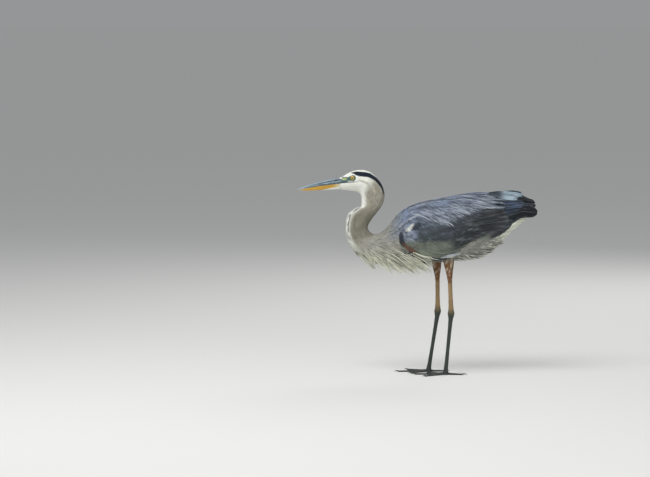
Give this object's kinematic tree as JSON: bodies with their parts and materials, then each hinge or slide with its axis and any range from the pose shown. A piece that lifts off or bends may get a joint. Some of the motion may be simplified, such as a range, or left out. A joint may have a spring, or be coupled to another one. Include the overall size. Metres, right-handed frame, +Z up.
{
  "type": "heron",
  "caption": "Long-legged wading bird standing still, with its neck drawn back in an S, its wings folded and a long dagger bill.",
  "frame": {"origin": "on the floor, midway between the bill tip and the wing tip and between the two feet", "axes": "+Z up, +X from the bill towards the tail, +Y towards the bird's right side"},
  "size_m": [0.768, 0.1836, 0.6537],
  "materials": {
    "head_feathers": "short matt feathers, white with a slate-black stripe",
    "neck_feathers": "matt grey-buff feathers",
    "body_feathers": "matt blue-grey feathers",
    "breast_plumes": "long pale plumes",
    "wing_coverts": "smooth grey feathers",
    "flight_feathers": "stiff slate flight feathers",
    "tail_feathers": "stiff grey tail feathers",
    "thigh_feathers": "soft grey-brown feathers",
    "upper_leg_skin": "scaly orange-tan skin",
    "lower_leg_skin": "scaly dark greenish skin",
    "claw_horn": "smooth black horn",
    "upper_bill_horn": "smooth slate-grey horn",
    "lower_bill_horn": "smooth yellow-orange horn",
    "eye": "wet yellow iris with a round black pupil"
  },
  "bodies": {
    "root": {"head": "head_feathers", "bill_upper": "upper_bill_horn", "bill_lower": "lower_bill_horn", "eye_left": "eye", "eye_right": "eye", "neck_upper": "neck_feathers", "neck_middle": "neck_feathers", "neck_bend": "neck_feathers", "neck_base": "neck_feathers", "breast_plumes": "breast_plumes", "trunk": "body_feathers", "tail": "tail_feathers", "wing_left_shoulder": "wing_coverts", "wing_left_fold": "wing_coverts", "wing_left_primaries": "flight_feathers", "wing_right_shoulder": "wing_coverts", "wing_right_fold": "wing_coverts", "wing_right_primaries": "flight_feathers", "thigh_left": "thigh_feathers", "shank_left": "upper_leg_skin", "ankle_left": "lower_leg_skin", "tarsus_left": "lower_leg_skin", "foot_left": "lower_leg_skin", "toe_left_inner": "lower_leg_skin", "claw_left_inner": "claw_horn", "toe_left_middle": "lower_leg_skin", "claw_left_middle": "claw_horn", "toe_left_outer": "lower_leg_skin", "claw_left_outer": "claw_horn", "toe_left_hind": "lower_leg_skin", "claw_left_hind": "claw_horn", "thigh_right": "thigh_feathers", "shank_right": "upper_leg_skin", "ankle_right": "lower_leg_skin", "tarsus_right": "lower_leg_skin", "foot_right": "lower_leg_skin", "toe_right_inner": "lower_leg_skin", "claw_right_inner": "claw_horn", "toe_right_middle": "lower_leg_skin", "claw_right_middle": "claw_horn", "toe_right_outer": "lower_leg_skin", "claw_right_outer": "claw_horn", "toe_right_hind": "lower_leg_skin", "claw_right_hind": "claw_horn"}
  },
  "joints": []
}
